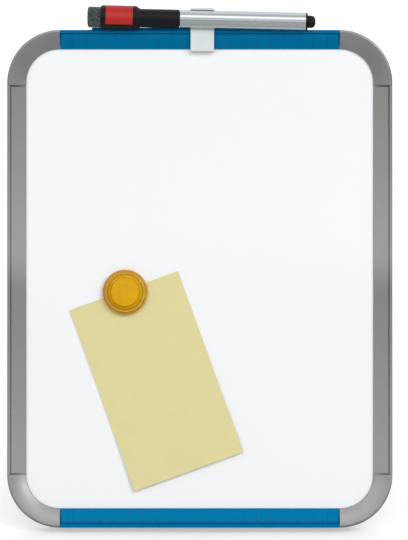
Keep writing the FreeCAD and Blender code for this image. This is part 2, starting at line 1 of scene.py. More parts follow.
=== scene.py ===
import json
import math
import random

import bmesh
import bpy
from mathutils import Color, Matrix, Vector, noise


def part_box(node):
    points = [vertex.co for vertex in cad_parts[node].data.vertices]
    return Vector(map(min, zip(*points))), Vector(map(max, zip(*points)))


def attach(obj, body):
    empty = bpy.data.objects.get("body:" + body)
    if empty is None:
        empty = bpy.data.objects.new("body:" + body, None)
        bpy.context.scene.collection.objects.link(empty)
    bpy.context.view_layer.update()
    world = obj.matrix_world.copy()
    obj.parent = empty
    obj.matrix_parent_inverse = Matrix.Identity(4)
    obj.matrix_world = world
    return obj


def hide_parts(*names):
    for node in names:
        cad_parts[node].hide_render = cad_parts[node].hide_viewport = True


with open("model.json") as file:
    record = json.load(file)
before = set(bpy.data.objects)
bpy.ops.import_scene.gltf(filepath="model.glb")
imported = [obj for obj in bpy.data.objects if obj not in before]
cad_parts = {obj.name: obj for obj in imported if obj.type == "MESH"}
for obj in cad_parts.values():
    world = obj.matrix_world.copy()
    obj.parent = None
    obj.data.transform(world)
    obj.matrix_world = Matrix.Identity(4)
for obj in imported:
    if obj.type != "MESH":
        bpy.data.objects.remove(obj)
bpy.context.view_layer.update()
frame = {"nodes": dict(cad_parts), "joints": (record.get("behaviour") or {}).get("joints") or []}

bl_info = {
    "name": "Desk Whiteboard Easel",
    "version": (1, 0, 0),
    "blender": (4, 5, 0),
    "location": "View3D > Sidebar > Easel",
    "description": "Finishes the whiteboard easel's frame and builds its fine pieces",
    "category": "Add Mesh",
}

# Directions of the leaning board, read from its joints
joints = {joint["name"]: joint for joint in frame["joints"]}
front = Vector(joints["marker_pull"]["axis"])
right = Vector((1, 0, 0))
up = front.cross(right)
board_turn = Matrix((right, -front, up)).transposed()
cap_axis = Vector(joints["cap_pull"]["axis"])
marker_turn = Matrix((cap_axis, -front, front.cross(cap_axis))).transposed()
magnet_seat = Vector(joints["note_swing"]["pos_m"])


def reach(node, direction):
    """Lowest and highest place of a node of the frame along a direction."""
    places = [vertex.co.dot(direction) for vertex in frame["nodes"][node].data.vertices]
    return min(places), max(places)


# Middle of the board's lower edge, level with the front of the side rails
board_origin = up * reach("bottom_rail", up)[0] - front * reach("side_rail_left", -front)[0]


def board_place(across, depth, height):
    """Point in the frame from a place across, into and up the board."""
    return board_origin + board_turn @ Vector((across, depth, height))


def paint(red, green, blue):
    """Linear colour of a screen colour with levels up to 255."""
    return Color((red / 255, green / 255, blue / 255)).from_srgb_to_scene_linear()


def color_property(name, description, red, green, blue):
    """Colour property with its default as a screen colour."""
    return bpy.props.FloatVectorProperty(
        name=name, description=description, subtype="COLOR", size=3,
        min=0.0, max=1.0, default=paint(red, green, blue))


def length_property(name, description, default):
    """Length property in metres."""
    return bpy.props.FloatProperty(
        name=name, description=description, default=default, min=0.0,
        precision=5, subtype="DISTANCE", unit="LENGTH")


def angle_property(name, description, degrees):
    """Angle property with its default in degrees."""
    return bpy.props.FloatProperty(
        name=name, description=description, default=math.radians(degrees),
        subtype="ANGLE", unit="ROTATION")


def level_property(name, description, default, most=1.0):
    """Plain factor from zero up."""
    return bpy.props.FloatProperty(
        name=name, description=description, default=default, min=0.0,
        max=most, subtype="FACTOR")


# Colours and sizes that a user may change


class EaselColors(bpy.types.PropertyGroup):
    """Colours of the easel's finishes."""
    enamel: color_property("Enamel", "Writing sheet", 242, 244, 246)
    fibreboard: color_property("Fibreboard", "Core of the panel", 138, 110, 78)
    backing: color_property("Backing", "Sheet on the panel's back", 158, 160, 161)
    rail_blue: color_property("Blue rail", "Ruled rails at top and bottom", 3, 110, 158)
    rail_grey: color_property("Grey rail", "Rails at both sides", 131, 131, 132)
    corner_grey: color_property("Corner", "Moulded corners", 142, 142, 144)
    leg_grey: color_property("Leg", "Easel leg and hinge bracket", 88, 90, 92)
    rubber: color_property("Rubber", "Feet and boot", 34, 34, 35)
    steel: color_property("Steel", "Screws and hinge pin", 176, 176, 172)
    clip_white: color_property("Clip", "Marker clip", 212, 219, 219)
    silver: color_property("Silver", "Marker barrel", 190, 196, 199)
    black: color_property("Black", "Cap, plug and nib holder", 15, 17, 16)
    nib: color_property("Nib", "Writing tip", 20, 20, 24)
    fibre: color_property("Fibre", "Ink reservoir", 190, 188, 180)
    felt: color_property("Felt", "Eraser pad", 51, 60, 60)
    label: color_property("Label", "Plate on the cap", 178, 34, 30)
    amber: color_property("Amber", "Magnet's button", 218, 163, 12)
    amber_rim: color_property("Amber rim", "Magnet's clear rim", 228, 177, 43)
    ferrite: color_property("Ferrite", "Magnet disc", 60, 60, 62)
    paper: color_property("Paper", "Note", 224, 215, 160)
    floor: color_property("Floor", "Floor under the easel", 205, 205, 205)


class NoteSizes(bpy.types.PropertyGroup):
    """Sizes of the paper note."""
    width: length_property("Width", "Short side of the sheet", 0.0648)
    length: length_property("Length", "Long side of the sheet", 0.1078)
    thickness: length_property("Thickness", "Thickness of the paper", 0.0002)
    lift: length_property("Lift", "How far the lower edge stands off", 0.0016)
    curl: length_property("Curl", "Length over which the sheet lifts", 0.062)
    side_lift: length_property("Side lift", "How far the left edge stands off", 0.0005)
    turn: angle_property("Turn", "Turn of the sheet on the board", 19.9)
    across: length_property("Across", "Sheet's middle, right of the magnet", 0.01745)
    drop: length_property("Drop", "Sheet's middle, below the magnet", 0.0499)


class FeltSizes(bpy.types.PropertyGroup):
    """Sizes of the eraser's felt."""
    edge: length_property("Edge", "Rounding of the pad's edge", 0.0014)
    fuzz: length_property("Fuzz", "Height of the uneven surface", 0.0002)
    spot: length_property("Spot", "Width of an uneven spot", 0.0008)
    fibre: length_property("Fibre", "Length of a loose fibre", 0.0007)
    fibre_width: length_property("Fibre width", "Thickness of a loose fibre", 0.00006)
    fibres: bpy.props.IntProperty(
        name="Fibres", description="Number of loose fibres", default=700, min=0)
    seed: bpy.props.IntProperty(
        name="Seed", description="Start of the fibres' random places", default=7, min=0)
    fill: level_property("Fill", "Firmness of the pad, tight at one", 1.0)


class MagnetSizes(bpy.types.PropertyGroup):
    """Sizes of the round magnet."""
    radius: length_property("Radius", "Outer radius of the rim", 0.01265)
    height: length_property("Height", "Height off the note", 0.008)
    rim_height: length_property("Rim height", "Height of the outer rim", 0.0024)
    rim_width: length_property("Rim width", "Width of the outer rim", 0.0009)
    step_radius: length_property("Step radius", "Radius of the inner step", 0.0114)
    step_height: length_property("Step height", "Height of the inner step", 0.0042)
    gutter: length_property("Gutter", "Depth of the grooves between the rings", 0.0003)
    ridge_radius: length_property("Ridge radius", "Radius of the ring round the top", 0.0092)
    ridge_height: length_property("Ridge height", "Height of the ring round the top", 0.0055)
    top_radius: length_property("Top radius", "Radius of the button's top", 0.0078)
    core_radius: length_property("Core radius", "Outer radius of the solid core", 0.0099)
    edge: length_property("Edge", "Rounding of the edges", 0.0002)
    play: length_property("Play", "Gap between the pieces", 0.00003)


class ScrewSizes(bpy.types.PropertyGroup):
    """Sizes of the bracket screws."""
    head_radius: length_property("Head radius", "Radius of the head", 0.0023)
    head_height: length_property("Head height", "Height of the head", 0.0012)
    head_round: length_property("Head rounding", "Rounding of the head's edge", 0.0007)
    shank_radius: length_property("Shank radius", "Radius of the shank", 0.0011)
    slot_length: length_property("Slot length", "Length of the cross slot", 0.0026)
    slot_width: length_property("Slot width", "Width of the cross slot", 0.0005)
    slot_depth: length_property("Slot depth", "Depth of the cross slot", 0.0008)


class StageSettings(bpy.types.PropertyGroup):
    """Camera, floor and light."""
    distance: length_property("Distance", "Camera to board", 1.6)
    clip_end: length_property("Clip end", "Farthest place that the camera sees", 100.0)
    framed_height: length_property("Framed height", "Height in view at the board", 0.3025)
    aim_across: length_property("Aim across", "View's middle, right of centre", 0.00235)
    aim_height: length_property("Aim height", "View's middle, up the board", 0.1444)
    floor_size: length_property("Floor size", "Side of the floor", 12.0)
    air: level_property("Air", "Light that comes from all round", 0.4)
    floor_glow: level_property("Floor glow", "Paleness added to the floor in view", 0.6)
    # A share below one leaves a painted shadow on the floor round the board's foot
    foot_shadow_glow: level_property("Foot glow", "Share of that paleness under the board", 0.7)
    foot_shadow_width: length_property("Foot width", "Reach of that share to each side", 0.5)
    foot_shadow_depth: length_property("Foot depth", "Reach of that share to front and back", 0.16)
    foot_shadow_place: length_property("Foot place", "Its middle, in front of the origin", 0.06)
    key: level_property("Key", "Brightness of the broad softbox", 1.62, most=10.0)
    side: level_property("Side", "Brightness of the right softbox", 8.0, most=20.0)
    rear: level_property("Rear", "Brightness of the softbox behind", 2.0, most=20.0)
    room: level_property("Room", "Brightness of the room in reflections", 1.0, most=4.0)


# Softboxes: turn round the board and height above it in degrees, distance, width and
# height in metres, the setting with the brightness, and whether glossy finishes mirror it
SOFTBOXES = {
    "broad_softbox": (0, 40, 2.4, 4.2, 1.94, "key", False),
    "right_softbox": (46, 38, 2.2, 0.6, 0.6, "side", True),
    "rear_softbox": (180, 30, 2.4, 2.4, 1.6, "rear", False),
}

# Brightness of the room that glossy finishes mirror, by its height in degrees: from the
# desk in front, over the softbox and the ceiling, to the wall behind
ROOM_TONES = (
    (0, 0.5), (11, 0.7), (14, 1.9), (17.8, 0.05), (18.3, 2.3), (21.6, 0.3), (30, 0.9),
    (42, 1.7), (50, 2.3), (58, 2.1), (66, 0.9), (78, 0.55), (90, 0.9), (105, 1.15),
)

# How far the painted shade in grooves and joints reaches, in metres
GROOVE_SHADE_REACH = 0.0014

# Steps of a full turn, how near two points count as one in metres, the least angles at
# which an edge stays crisp and at which it is rounded, and the least rise of the normal
# of a face that looks up
TURN_STEPS = 96
SAME_PLACE = 0.000001
CREASE = math.radians(50)
MOULD_EDGE = math.radians(25)
FACES_UP = 0.9


# Nodes of a material


def start_finish(name, constants):
    """New node material, with its tree and its shader."""
    material = bpy.data.materials.new(name)
    material.use_nodes = True
    tree = material.node_tree
    shader = shader_of(material)
    for socket, value in constants.items():
        shader.inputs[socket].default_value = value
    return material, tree, shader


def shader_of(material):
    """Surface shader of a node material."""
    return next(node for node in material.node_tree.nodes if node.type == "BSDF_PRINCIPLED")


def add_node(tree, kind, settings, inputs):
    """Add a node, set it, and link or set its inputs."""
    node = tree.nodes.new(kind)
    for key, value in settings.items():
        setattr(node, key, value)
    for socket, value in inputs.items():
        if isinstance(value, bpy.types.NodeSocket):
            tree.links.new(value, node.inputs[socket])
        else:
            node.inputs[socket].default_value = value
    return node


def placed(tree, size, turn, centre):
    """Coordinates in units of a size along a piece's own axes."""
    here = add_node(tree, "ShaderNodeTexCoord", {}, {}).outputs["Object"]
    return add_node(tree, "ShaderNodeMapping", {"vector_type": "TEXTURE"}, {
        "Vector": here, "Location": centre, "Rotation": turn.to_euler(), "Scale": size,
    }).outputs["Vector"]


def grain(tree, size, detail=2.0, turn=board_turn):
    """Noise whose spots have a size along each axis."""
    return add_node(tree, "ShaderNodeTexNoise", {}, {
        "Vector": placed(tree, size, turn, (0, 0, 0)), "Scale": 1.0, "Detail": detail,
    }).outputs["Fac"]


def spangle(tree, size):
    """Flat cells of different tone."""
    cells = add_node(tree, "ShaderNodeTexVoronoi", {}, {
        "Vector": placed(tree, (size, size, size), board_turn, (0, 0, 0)), "Scale": 1.0,
    })
    return add_node(tree, "ShaderNodeSeparateColor", {}, {
        "Color": cells.outputs["Color"]}).outputs["Red"]


def between(tree, pattern, low, high, start=0.3, stop=0.7):
    """Stretch a pattern between two values."""
    return add_node(tree, "ShaderNodeMapRange", {}, {
        "Value": pattern, "From Min": start, "From Max": stop,
        "To Min": low, "To Max": high,
    }).outputs["Result"]


def toned(color, share):
    """A colour with its levels multiplied, as a ramp needs it."""
    return [min(1.0, level * share) for level in color] + [1.0]


def paled(color, share):
    """A colour moved a share of the way to white, as a ramp needs it."""
    return [level + (1.0 - level) * share for level in color] + [1.0]


def two_tone(tree, pattern, dark, light, start=0.3, stop=0.7):
    """Run from one colour to another by a pattern."""
    ramp = add_node(tree, "ShaderNodeValToRGB", {}, {"Fac": pattern})
    ramp.color_ramp.elements[0].position = start
    ramp.color_ramp.elements[0].color = dark
    ramp.color_ramp.elements[1].position = stop
    ramp.color_ramp.elements[1].color = light
    return ramp.outputs["Color"]


def edges_of(tree, radius):
    """Pattern that is one on sharp edges and nought on flats."""
    soft = add_node(tree, "ShaderNodeBevel", {"samples": 4}, {"Radius": radius})
    flat = add_node(tree, "ShaderNodeNewGeometry", {}, {})
    match = add_node(tree, "ShaderNodeVectorMath", {"operation": "DOT_PRODUCT"}, {
        0: soft.outputs["Normal"], 1: flat.outputs["Normal"]})
    return between(tree, match.outputs["Value"], 1.0, 0.0, start=0.86, stop=0.99)


def worn_and_highlit(tree, color, radius, color_of_edge):
    """Lighten sharp edges, partly as rubbing and partly as a painted highlight."""
    return add_node(tree, "ShaderNodeMixRGB", {}, {
        "Fac": edges_of(tree, radius), "Color1": color, "Color2": color_of_edge,
    }).outputs["Color"]


def painted_groove_shade(tree, color, distance, color_of_groove_shade):
    """Paint shade into grooves and joints, darker where less light reaches."""
    open_share = add_node(
        tree, "ShaderNodeAmbientOcclusion", {"samples": 8}, {"Distance": distance}).outputs["AO"]
    return add_node(tree, "ShaderNodeMixRGB", {}, {
        "Fac": between(tree, open_share, 1.0, 0.0, start=0.3, stop=0.85),
        "Color1": color, "Color2": color_of_groove_shade,
    }).outputs["Color"]


def relief(tree, shader, pattern, depth):
    """Raise the surface by a pattern, to a depth in metres."""
    bump = add_node(tree, "ShaderNodeBump", {}, {"Height": pattern, "Distance": depth})
    tree.links.new(bump.outputs["Normal"], shader.inputs["Normal"])


def slope_inwards(material, steepness):
    """Shade the frame's face as sloping down to the panel, on top of its grain."""
    tree = material.node_tree
    middle = board_place(0, 0, (reach("top_rail", up)[1] - reach("bottom_rail", up)[0]) / 2)
    here = placed(tree, (1, 1, 1), board_turn, middle)
    height = add_node(tree, "ShaderNodeSeparateXYZ", {}, {"Vector": here}).outputs["Z"]
    outwards = add_node(tree, "ShaderNodeMath", {"operation": "ABSOLUTE"}, {0: height})
    slope = add_node(tree, "ShaderNodeBump", {}, {
        "Height": outwards.outputs["Value"], "Distance": steepness})
    grain_bump = shader_of(material).inputs["Normal"].links[0].from_node
    tree.links.new(slope.outputs["Normal"], grain_bump.inputs["Normal"])


# Finishes


def moulded_finish(name, color, spot, depth, rough, constants, turn=board_turn, wear_and_highlight=1.15):
    """Moulded plastic: fine spark grain, uneven gloss, edges lightened partly by rubbing and
    partly as a painted highlight, and painted shade in grooves and joints.
    """
    material, tree, shader = start_finish(name, constants)
    cloud = grain(tree, (0.012, 0.012, 0.03), detail=3.0, turn=turn)
    skin = grain(tree, (spot, spot, spot), turn=turn)
    tone = two_tone(tree, cloud, toned(color, 0.95), toned(color, 1.04))
    # Edges lightened partly by rubbing and partly as a painted highlight; grooves and joints
    # darkened as painted shade
    rubbed_and_highlit = worn_and_highlit(tree, tone, 0.0003, toned(color, wear_and_highlight))
    groove_shaded = painted_groove_shade(tree, rubbed_and_highlit, GROOVE_SHADE_REACH, toned(color, 0.5))
    tree.links.new(groove_shaded, shader.inputs["Base Color"])
    tree.links.new(between(tree, skin, rough * 0.88, rough * 1.12), shader.inputs["Roughness"])
    relief(tree, shader, skin, depth)
    return material


def brushed_finish(name, color, line, depth, rough, constants, turn=board_turn, groove=0.55):
    """Metallic lacquer or metal with fine lines along the piece, edges lightened partly by
    rubbing and partly as a painted highlight, and painted shade in grooves and joints.
    """
    material, tree, shader = start_finish(name, constants)
    lines = grain(tree, line, detail=3.0, turn=turn)
    flake = grain(tree, (0.00025, 0.00025, 0.00025), detail=1.0, turn=turn)
    tone = two_tone(tree, flake, toned(color, 0.93), toned(color, 1.07))
    # Edges lightened partly by rubbing and partly as a painted highlight; grooves and joints
    # darkened as painted shade
    rubbed_and_highlit = worn_and_highlit(tree, tone, 0.00025, paled(color, 0.05))
    groove_shaded = painted_groove_shade(tree, rubbed_and_highlit, GROOVE_SHADE_REACH, toned(color, groove))
    tree.links.new(groove_shaded, shader.inputs["Base Color"])
    tree.links.new(between(tree, lines, rough * 0.85, rough * 1.15), shader.inputs["Roughness"])
    relief(tree, shader, lines, depth)
    return material


def enamel_finish(colors):
    """White enamel: soft orange peel and faint wiping marks."""
    material, tree, shader = start_finish("enamel_white", {
        "Coat Weight": 0.4, "Coat Roughness": 0.08, "Specular IOR Level": 0.4})
    peel = grain(tree, (0.0016, 0.0016, 0.0016), detail=1.0)
    wipe = grain(tree, (0.09, 0.01, 0.012), detail=4.0)
    tone = two_tone(tree, wipe, toned(colors.enamel, 0.997), toned(colors.enamel, 1.0),
                    start=0.2, stop=0.8)
    gloss = between(tree, wipe, 0.24, 0.27, start=0.2, stop=0.8)
    tree.links.new(tone, shader.inputs["Base Color"])
    tree.links.new(gloss, shader.inputs["Roughness"])
    relief(tree, shader, peel, depth=0.000004)
    return material


def fibreboard_finish(colors):
    """Pressed fibres, light and dark."""
    material, tree, shader = start_finish("core_fibreboard", {})
    fibres = grain(tree, (0.0012, 0.0002, 0.0012), detail=6.0)
    tone = two_tone(tree, fibres, toned(colors.fibreboard, 0.7), toned(colors.fibreboard, 1.25))
    tree.links.new(tone, shader.inputs["Base Color"])
    tree.links.new(between(tree, fibres, 0.8, 0.95), shader.inputs["Roughness"])
    relief(tree, shader, fibres, depth=0.0001)
    return material


def backing_finish(colors):
    """Galvanised sheet with its spangle."""
    material, tree, shader = start_finish("backing_grey", {"Metallic": 0.75})
    cells = spangle(tree, 0.004)
    dull = grain(tree, (0.02, 0.02, 0.02), detail=5.0)
    tone = two_tone(tree, cells, toned(colors.backing, 0.96), toned(colors.backing, 1.04),
                    start=0.0, stop=1.0)
    tree.links.new(tone, shader.inputs["Base Color"])
    tree.links.new(between(tree, dull, 0.38, 0.55), shader.inputs["Roughness"])
    relief(tree, shader, cells, depth=0.00001)
    return material


def felt_finish(name, color):
    """Matted fibres with light and dark tufts."""
    material, tree, shader = start_finish(name, {
        "Sheen Weight": 0.3, "Sheen Roughness": 0.6, "Specular IOR Level": 0.15})
    tuft = grain(tree, (0.0011, 0.0011, 0.0011), detail=5.0, turn=marker_turn)
    hair = grain(tree, (0.0003, 0.0003, 0.0003), detail=4.0, turn=marker_turn)
    tone = two_tone(tree, tuft, toned(color, 0.3), toned(color, 2.4), start=0.35)
    tree.links.new(tone, shader.inputs["Base Color"])
    tree.links.new(between(tree, tuft, 0.85, 1.0), shader.inputs["Roughness"])
    relief(tree, shader, hair, depth=0.00015)
    return material


def paper_finish(colors):
    """Uncoated paper: short fibres and a faint cloudiness."""
    material, tree, shader = start_finish("note_yellow", {"Specular IOR Level": 0.2})
    cloud = grain(tree, (0.009, 0.009, 0.012), detail=4.0)
    fibre = grain(tree, (0.0011, 0.0011, 0.0002), detail=4.0)
    shade = two_tone(tree, fibre, (0.88, 0.88, 0.86, 1), (1, 1, 1, 1), start=0.35, stop=0.6)
    tone = two_tone(tree, cloud, toned(colors.paper, 0.985), toned(colors.paper, 1.01))
    fleck = add_node(tree, "ShaderNodeMixRGB", {"blend_type": "MULTIPLY"}, {
        "Fac": 0.3, "Color1": tone, "Color2": shade})
    tree.links.new(fleck.outputs["Color"], shader.inputs["Base Color"])
    tree.links.new(between(tree, fibre, 0.8, 0.95), shader.inputs["Roughness"])
    relief(tree, shader, fibre, depth=0.00003)
    return material


def amber_finish(name, color, spot, constants):
    """Glossy amber moulding with faint flow marks."""
    material, tree, shader = start_finish(name, constants)
    flow = grain(tree, (spot, spot, spot), detail=3.0)
    tone = two_tone(tree, flow, toned(color, 0.93), toned(color, 1.05))
    tree.links.new(tone, shader.inputs["Base Color"])
    tree.links.new(between(tree, flow, 0.1, 0.2), shader.inputs["Roughness"])
    relief(tree, shader, flow, depth=0.00001)
    return material


# Meshes


def finish_nodes(material, *nodes):
    """Give nodes of the frame their finish."""
    for node in nodes:
        frame["nodes"][node].material_slots[0].material = material


def add_piece(context, name, form, material, body, slot, *replaced):
    """Turn a bmesh into a piece that rides on a body of the frame."""
    mesh = bpy.data.meshes.new(name)
    form.to_mesh(mesh)
    form.free()
    mesh.materials.append(material)
    piece = bpy.data.objects.new(name, mesh)
    context.collection.objects.link(piece)
    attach(piece, body)
    if replaced:
        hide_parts(*replaced)
    return piece


def axis_place(point, axis):
    """Matrix that stands a shape's Z axis on an axis through a point."""
    return Matrix.Translation(point) @ axis.to_track_quat("Z", "Y").to_matrix().to_4x4()


def turned_form(profile, steps=TURN_STEPS):
    """Spin a closed or axis-to-axis profile of radii and heights about Z."""
    form = bmesh.new()
    points = [form.verts.new((radius, 0, height)) for radius, height in profile]
    for first, second in zip(points, points[1:]):
        form.edges.new((first, second))
    if profile[0][0] > 0:
        form.edges.new((points[-1], points[0]))
    bmesh.ops.spin(form, geom=form.verts[:] + form.edges[:], cent=(0, 0, 0), axis=(0, 0, 1),
                   dvec=(0, 0, 0), angle=math.tau, steps=steps, use_merge=True)
    bmesh.ops.remove_doubles(form, verts=form.verts, dist=SAME_PLACE)
    bmesh.ops.recalc_face_normals(form, faces=form.faces)
    return form


def round_edges(form, width, least_angle=MOULD_EDGE, segments=3):
    """Bevel the edges that turn by more than an angle."""
    sharp = [edge for edge in form.edges
             if edge.is_manifold and edge.calc_face_angle() > least_angle]
    bmesh.ops.bevel(form, geom=sharp, offset=width, offset_type="OFFSET", segments=segments,
                    profile=0.5, affect="EDGES", clamp_overlap=True, material=-1)


def shade_smooth(form):
    """Smooth the faces of a form and keep its creases crisp."""
    for face in form.faces:
        face.smooth = True
    for edge in form.edges:
        edge.smooth = not (edge.is_manifold and edge.calc_face_angle() > CREASE)


# Operators


class EASEL_OT_writing_panel(bpy.types.Operator):
    """Finish the enamelled sheet, its core and the sheet behind"""
    bl_idname = "easel.writing_panel"
    bl_label = "Writing Panel"

    def execute(self, context):
        colors = context.scene.easel_colors
        finish_nodes(enamel_finish(colors), "writing_sheet")
        finish_nodes(fibreboard_finish(colors), "core_board")
        finish_nodes(backing_finish(colors), "backing_sheet")
        return {"FINISHED"}


class EASEL_OT_rails(bpy.types.Operator):
    """Finish the blue ruled rails and the grey side rails"""
    bl_idname = "easel.rails"
    bl_label = "Rails"

    def execute(self, context):
        colors = context.scene.easel_colors
        # The blue rails get a lighter painted shade in their grooves than other brushed finishes
        blue = brushed_finish(
            "rail_blue", colors.rail_blue, line=(0.02, 0.0004, 0.0004), depth=0.000008,
            rough=0.36, constants={"Metallic": 0.25, "Specular IOR Level": 0.0}, groove=0.85)
        grey = brushed_finish(
            "rail_grey", colors.rail_grey, line=(0.0004, 0.0004, 0.02), depth=0.000008,
            rough=0.36, constants={
                "Metallic": 0.1, "Specular IOR Level": 0.1, "Coat Weight": 1.0,
                "Coat Roughness": 0.03, "Coat IOR": 1.6})
        slope_inwards(blue, steepness=0.1)
        finish_nodes(blue, "top_rail", "bottom_rail")
        finish_nodes(grey, "side_rail_left", "side_rail_right")
        return {"FINISHED"}


class EASEL_OT_corners(bpy.types.Operator):
    """Finish the four moulded corners"""
    bl_idname = "easel.corners"
    bl_label = "Corners"

    def execute(self, context):
        grey = moulded_finish(
            "corner_grey", context.scene.easel_colors.corner_grey, spot=0.0003,
            depth=0.000006, rough=0.36,
            constants={"Metallic": 0.75, "Specular IOR Level": 0.2}, wear_and_highlight=1.05)
        slope_inwards(grey, steepness=0.14)
        finish_nodes(grey, "corner_top_left", "corner_top_right",
                     "corner_bottom_left", "corner_bottom_right")
        return {"FINISHED"}


class EASEL_OT_leg(bpy.types.Operator):
    """Finish the folding leg, its bracket and the rubber under them"""
    bl_idname = "easel.leg"
    bl_label = "Leg"

    def execute(self, context):
        colors = context.scene.easel_colors
        leg = moulded_finish(
            "leg_grey", colors.leg_grey, spot=0.0004, depth=0.00003, rough=0.55,
            constants={})
        rubber = moulded_finish(
            "foot_rubber", colors.rubber, spot=0.0005, depth=0.00005, rough=0.85,
            constants={"Specular IOR Level": 0.3}, wear_and_highlight=1.5)
        finish_nodes(leg, "easel_leg", "hinge_bracket")
        finish_nodes(rubber, "board_feet", "leg_foot_pad")
        return {"FINISHED"}


class EASEL_OT_fasteners(bpy.types.Operator):
    """Build the cross-head screws and finish the hinge pin"""
    bl_idname = "easel.fasteners"
    bl_label = "Fasteners"

    def execute(self, context):
        steel = brushed_finish(
            "plated_steel", context.scene.easel_colors.steel,
            line=(0.0006, 0.0006, 0.0006), depth=0.000005, rough=0.3,
            constants={"Metallic": 1.0})
        finish_nodes(steel, "hinge_pin")
        sizes = context.scene.easel_screws
        tip, top = reach("bracket_screws", -front)
        screws = bmesh.new()
        for across in self.middles(right, sizes.head_radius):
            for height in self.middles(up, sizes.head_radius):
                one = self.screw_form(sizes, top - tip)
                one.transform(axis_place(
                    right * across + up * height - front * tip, -front))
                self.join(screws, one)
        add_piece(context, "cross_head_screws", screws, steel, "board", "plated_steel",
                  "bracket_screws")
        return {"FINISHED"}

    def middles(self, direction, radius):
        """The two places of the screws' middles along a direction."""
        low, high = reach("bracket_screws", direction)
        return low + radius, high - radius

    def join(self, whole, part):
        """Add one form to another and free it."""
        mesh = bpy.data.meshes.new("part")
        part.to_mesh(mesh)
        part.free()
        whole.from_mesh(mesh)
        bpy.data.meshes.remove(mesh)

    def screw_form(self, sizes, length):
        """Pan-head screw on Z, with a cross sunk in its head."""
        under = length - sizes.head_height
        form = turned_form([
            (0, 0), (sizes.shank_radius, 0), (sizes.shank_radius, under),
            (sizes.head_radius, under), (sizes.head_radius, length), (0, length)],
            steps=32)
        rim = [edge for edge in form.edges
               if all(vertex.co.z > under + sizes.head_height / 2
                      and vertex.co.xy.length > sizes.shank_radius
                      for vertex in edge.verts)]
        bmesh.ops.bevel(form, geom=rim, offset=sizes.head_round, offset_type="OFFSET",
                        segments=4, profile=0.5, affect="EDGES", clamp_overlap=True,
                        material=-1)
        reach_out, half = sizes.slot_length / 2, sizes.slot_width / 2
        for axis in (Vector((1, 0, 0)), Vector((0, 1, 0))):
            for place in (-reach_out, -half, half, reach_out):
                bmesh.ops.bisect_plane(
                    form, geom=form.verts[:] + form.edges[:] + form.faces[:],
                    dist=SAME_PLACE / 10, plane_co=axis * place, plane_no=axis)
        sunk = [face for face in form.faces if face.normal.z > FACES_UP
                and self.in_cross(face.calc_center_median(), reach_out, half, under)]
        grown = bmesh.ops.extrude_face_region(form, geom=sunk)["geom"]
        bmesh.ops.delete(form, geom=sunk, context="FACES_KEEP_BOUNDARY")
        floor = [item for item in grown if isinstance(item, bmesh.types.BMVert)]
        bmesh.ops.translate(form, verts=floor, vec=(0, 0, -sizes.slot_depth))
        bmesh.ops.remove_doubles(form, verts=form.verts, dist=SAME_PLACE / 2)
        bmesh.ops.recalc_face_normals(form, faces=form.faces)
        shade_smooth(form)
        return form

    def in_cross(self, point, reach_out, half, under):
        """Whether a point of the head lies in the cross."""
        near, far = sorted((abs(point.x), abs(point.y)))
        return near < half and far < reach_out and point.z > under


class EASEL_OT_clip(bpy.types.Operator):
    """Finish the white marker clip"""
    bl_idname = "easel.clip"
    bl_label = "Marker Clip"

    def execute(self, context):
        white = moulded_finish(
            "clip_white", context.scene.easel_colors.clip_white, spot=0.0004,
            depth=0.00001, rough=0.35, constants={}, wear_and_highlight=1.06)
        finish_nodes(white, "marker_clip")
        return {"FINISHED"}


class EASEL_OT_marker(bpy.types.Operator):
    """Finish the marker's barrel, end plug, nib and inside"""
    bl_idname = "easel.marker"
    bl_label = "Marker"

    def execute(self, context):
        colors = context.scene.easel_colors
        silver = brushed_finish(
            "barrel_silver", colors.silver, line=(0.05, 0.0002, 0.0002), depth=0.0000015,
            rough=0.23, constants={"Metallic": 1.0}, turn=marker_turn)
        black = moulded_finish(
            "marker_black", colors.black, spot=0.0004, depth=0.000015, rough=0.4,
            constants={"Specular IOR Level": 0.16}, turn=marker_turn, wear_and_highlight=1.3)
        finish_nodes(silver, "marker_barrel")
        finish_nodes(black, "marker_end_plug", "nib_holder", "marker_cap")
        finish_nodes(felt_finish("nib_felt", colors.nib), "marker_nib")
        finish_nodes(felt_finish("reservoir_fibre", colors.fibre), "ink_reservoir")
        return {"FINISHED"}


